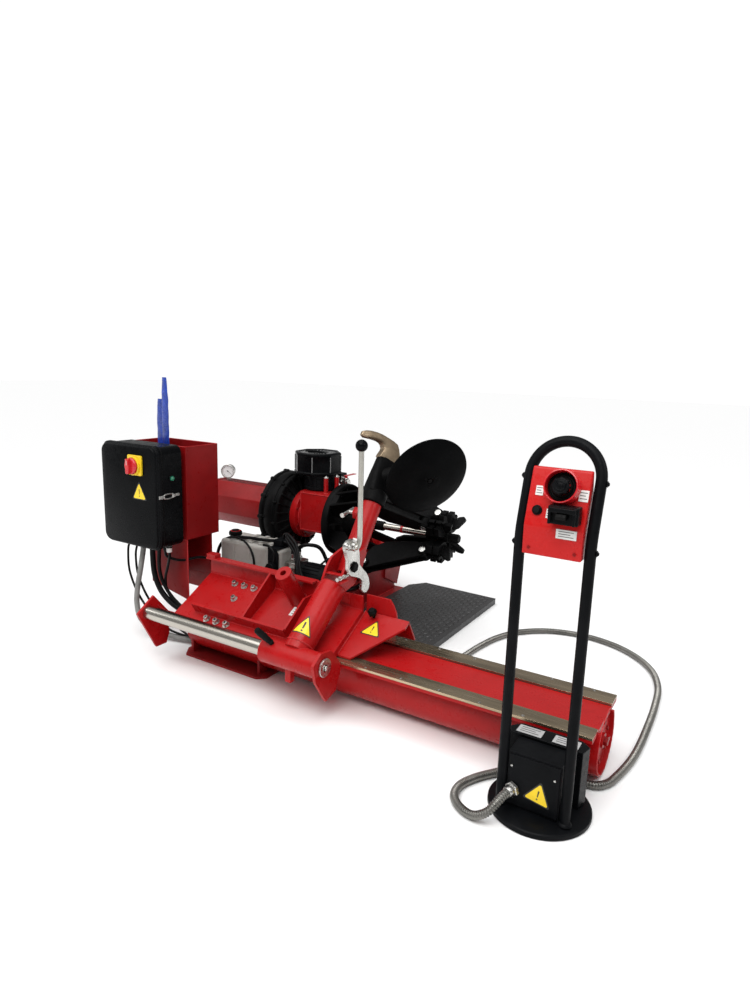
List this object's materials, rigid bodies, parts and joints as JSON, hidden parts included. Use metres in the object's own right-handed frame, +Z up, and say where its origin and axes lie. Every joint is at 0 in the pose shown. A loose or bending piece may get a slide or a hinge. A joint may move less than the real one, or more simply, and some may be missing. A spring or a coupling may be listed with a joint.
{
  "type": "truck tyre changer",
  "caption": "Horizontal truck tyre changer with a sliding tool carriage, swinging tool arm, lifting jaw chuck, electrical box and a free-standing control stand.",
  "frame": {"origin": "on the floor, below the centre of the machine's bounding box (the floor conduit left out)", "axes": "+X along the bed towards its free end, +Y to the rear, away from the operator, +Z up"},
  "size_m": [2.3811, 1.7054, 1.1533],
  "materials": {
    "red_paint": "gloss red enamel",
    "black_paint": "satin black paint",
    "cast_black": "black painted casting",
    "black_plastic": "moulded black plastic",
    "rubber_black": "black rubber grip",
    "chrome": "hard chromed bar",
    "bare_steel": "ground steel with an oil film",
    "zinc": "zinc plated",
    "tool_bronze": "bare cast tool steel with a bronze tint",
    "tank_plastic": "translucent oil tank",
    "yellow_plastic": "yellow switch plate",
    "red_plastic": "red plastic",
    "green_lens": "green lamp lens",
    "blue_wrap": "blue protective wrap",
    "chequer": "dark tread plate",
    "conduit_steel": "corrugated metal conduit"
  },
  "bodies": {
    "machine": {"base_frame": "red_paint", "bed": "red_paint", "front_rail": "bare_steel", "rear_rail": "bare_steel", "feed_cylinder": "black_paint", "column": "red_paint", "tool_bin": "red_paint", "enclosure_body": "black_plastic", "indicator_lamp": "green_lens", "hydraulic_tank": "tank_plastic", "valve_block": "bare_steel", "pump_motor": "black_paint", "wheel_platform": "chequer", "pivot_pin": "bare_steel", "stand_base": "black_paint", "stand_frame": "black_paint", "junction_box": "black_paint", "pedal_housing": "black_paint", "console_box": "red_paint", "conduit": "conduit_steel"},
    "carriage": {"carriage_frame": "red_paint", "guide_shaft": "chrome", "rail_guard": "red_paint", "feed_rod": "chrome"},
    "knob": {"guard_knob": "rubber_black"},
    "sleeve": {"sleeve_bush": "tool_bronze"},
    "arm": {"tool_arm": "red_paint"},
    "pin": {"index_pin": "zinc"},
    "handle": {"sleeve_handle": "rubber_black"},
    "latch": {"latch_hook": "zinc", "latch_lever": "chrome"},
    "head": {"tool_head": "cast_black", "mount_hook": "tool_bronze"},
    "disc": {"bead_disc": "cast_black"},
    "lift_arm": {"chuck_arm": "red_paint", "gear_housing": "cast_black", "motor_cowl": "red_paint", "drive_motor": "black_paint", "fan_cover": "black_plastic", "pressure_gauge": "zinc", "ball_valve": "zinc"},
    "valve_handle": {"ball_valve_handle": "red_plastic"},
    "chuck": {"chuck_body": "cast_black"},
    "rod": {"chuck_rod": "chrome"},
    "jaw_a": {"jaw_1": "cast_black"},
    "jaw_b": {"jaw_2": "cast_black"},
    "jaw_c": {"jaw_3": "cast_black"},
    "jaw_d": {"jaw_4": "cast_black"},
    "lift_barrel": {"lift_cylinder": "black_paint"},
    "lift_piston": {"lift_rod": "chrome"},
    "door": {"enclosure_door": "black_plastic", "switch_plate": "yellow_plastic"},
    "switch_knob": {"main_switch_knob": "red_plastic"},
    "clip": {"latch_clip": "zinc"},
    "lever_long": {"tyre_lever_long": "blue_wrap"},
    "lever_short": {"tyre_lever_short": "blue_wrap"},
    "cap": {"tank_cap": "rubber_black"},
    "stick": {"joystick": "black_plastic"},
    "rocker": {"switch_lever": "black_plastic"},
    "button": {"push_button": "rubber_black"}
  },
  "joints": [
    {"name": "carriage_feed", "type": "slide", "parent": "machine", "child": "carriage", "axis": [1, 0, 0], "range_m": [0, 0.4]},
    {"name": "sleeve_shift", "type": "slide", "parent": "carriage", "child": "sleeve", "axis": [1, 0, 0], "range_m": [-0.05, 0]},
    {"name": "arm_swing", "type": "hinge", "parent": "sleeve", "child": "arm", "pos_m": [0.121, -0.696, 0.222], "axis": [1, 0, 0], "range_deg": [0, 35]},
    {"name": "index_pull", "type": "slide", "parent": "arm", "child": "pin", "axis": [-1, 0, 0], "range_m": [0, 0.02], "stiffness_N_per_m": 400, "springref_m": -0.01},
    {"name": "handle_turn", "type": "hinge", "parent": "arm", "child": "handle", "pos_m": [0.041, -0.718, 0.266], "axis": [0, -0.4472, 0.8944], "range_deg": [-30, 30]},
    {"name": "latch_pull", "type": "hinge", "parent": "arm", "child": "latch", "pos_m": [0.176, -0.418, 0.496], "axis": [1, 0, 0], "range_deg": [0, 20]},
    {"name": "head_turn", "type": "hinge", "parent": "arm", "child": "head", "pos_m": [0.121, -0.201, 0.691], "axis": [0, -0.5621, -0.8271], "range_deg": [0, 180]},
    {"name": "disc_spin", "type": "hinge", "parent": "head", "child": "disc", "pos_m": [0.298, -0.077, 0.804], "axis": [0.7473, -0.5172, -0.4172], "continuous": true},
    {"name": "knob_turn", "type": "hinge", "parent": "carriage", "child": "knob", "pos_m": [0.264, -0.394, 0.30925], "axis": [0, -0.5076, 0.8616], "range_deg": [-180, 180]},
    {"name": "chuck_lift", "type": "hinge", "parent": "machine", "child": "lift_arm", "pos_m": [-0.414, 0.66, 0.24], "axis": [-1, 0, 0], "range_deg": [0, 32]},
    {"name": "valve_turn", "type": "hinge", "parent": "lift_arm", "child": "valve_handle", "pos_m": [-0.364, 0.335, 0.68], "axis": [0, 0, -1], "range_deg": [0, 90]},
    {"name": "chuck_turn", "type": "hinge", "parent": "lift_arm", "child": "chuck", "pos_m": [-0.314, 0.256, 0.48], "axis": [1, 0, 0], "continuous": true},
    {"name": "rod_travel", "type": "slide", "parent": "chuck", "child": "rod", "axis": [1, 0, 0], "range_m": [0, 0.0288]},
    {"name": "jaw_a_open", "type": "hinge", "parent": "chuck", "child": "jaw_a", "pos_m": [-0.087, 0.10185, 0.63415], "axis": [0, -0.7071, -0.7071], "range_deg": [0, 26]},
    {"name": "jaw_b_open", "type": "hinge", "parent": "chuck", "child": "jaw_b", "pos_m": [-0.087, 0.10185, 0.32585], "axis": [0, 0.7071, -0.7071], "range_deg": [0, 26]},
    {"name": "jaw_c_open", "type": "hinge", "parent": "chuck", "child": "jaw_c", "pos_m": [-0.087, 0.41015, 0.32585], "axis": [0, 0.7071, 0.7071], "range_deg": [0, 26]},
    {"name": "jaw_d_open", "type": "hinge", "parent": "chuck", "child": "jaw_d", "pos_m": [-0.087, 0.41015, 0.63415], "axis": [0, -0.7071, 0.7071], "range_deg": [0, 26]},
    {"name": "lift_barrel_tilt", "type": "hinge", "parent": "machine", "child": "lift_barrel", "pos_m": [-0.429, 0.51, 0.13], "axis": [-1, 0, 0], "range_deg": [0, 18.2]},
    {"name": "lift_stroke", "type": "slide", "parent": "lift_barrel", "child": "lift_piston", "axis": [0, -0.0866, 0.9962], "range_m": [0, 0.0805]},
    {"name": "door_open", "type": "hinge", "parent": "machine", "child": "door", "pos_m": [-1.027, -0.557, 0.66], "axis": [0, 0, -1], "range_deg": [0, 110]},
    {"name": "switch_turn", "type": "hinge", "parent": "door", "child": "switch_knob", "pos_m": [-0.799, -0.6083, 0.794], "axis": [0, -1, 0], "range_deg": [0, 90]},
    {"name": "clip_open", "type": "hinge", "parent": "machine", "child": "clip", "pos_m": [-0.6727, -0.506, 0.67], "axis": [0, 0, 1], "range_deg": [0, 70]},
    {"name": "lever_long_lift", "type": "slide", "parent": "machine", "child": "lever_long", "axis": [0, 0, 1], "range_m": [0, 0.3]},
    {"name": "lever_short_lift", "type": "slide", "parent": "machine", "child": "lever_short", "axis": [0, 0, 1], "range_m": [0, 0.3]},
    {"name": "cap_turn", "type": "hinge", "parent": "machine", "child": "cap", "pos_m": [-0.734, -0.07, 0.41], "axis": [0, 0, 1], "range_deg": [0, 180]},
    {"name": "stick_tilt", "type": "hinge", "parent": "machine", "child": "stick", "pos_m": [1.028, -0.76494, 0.94677], "axis": [1, 0, 0], "range_deg": [-15, 15], "stiffness_Nm_per_rad": 2},
    {"name": "rocker_tilt", "type": "hinge", "parent": "machine", "child": "rocker", "pos_m": [1.047, -0.824, 0.885], "axis": [1, 0, 0], "range_deg": [-8, 8], "stiffness_Nm_per_rad": 0.5},
    {"name": "button_press", "type": "slide", "parent": "machine", "child": "button", "axis": [0, 0.9545, -0.2983], "range_m": [0, 0.002], "stiffness_N_per_m": 600, "springref_m": -0.002}
  ],
  "couplings": [
    {"joint": "jaw_b_open", "follows": "jaw_a_open", "ratio": 1},
    {"joint": "jaw_c_open", "follows": "jaw_a_open", "ratio": 1},
    {"joint": "jaw_d_open", "follows": "jaw_a_open", "ratio": 1},
    {"joint": "rod_travel", "follows": "jaw_a_open", "m_per_rad": 0.0625},
    {"joint": "lift_barrel_tilt", "follows": "chuck_lift", "ratio": 0.5625},
    {"joint": "lift_stroke", "follows": "chuck_lift", "m_per_rad": 0.1415}
  ]
}
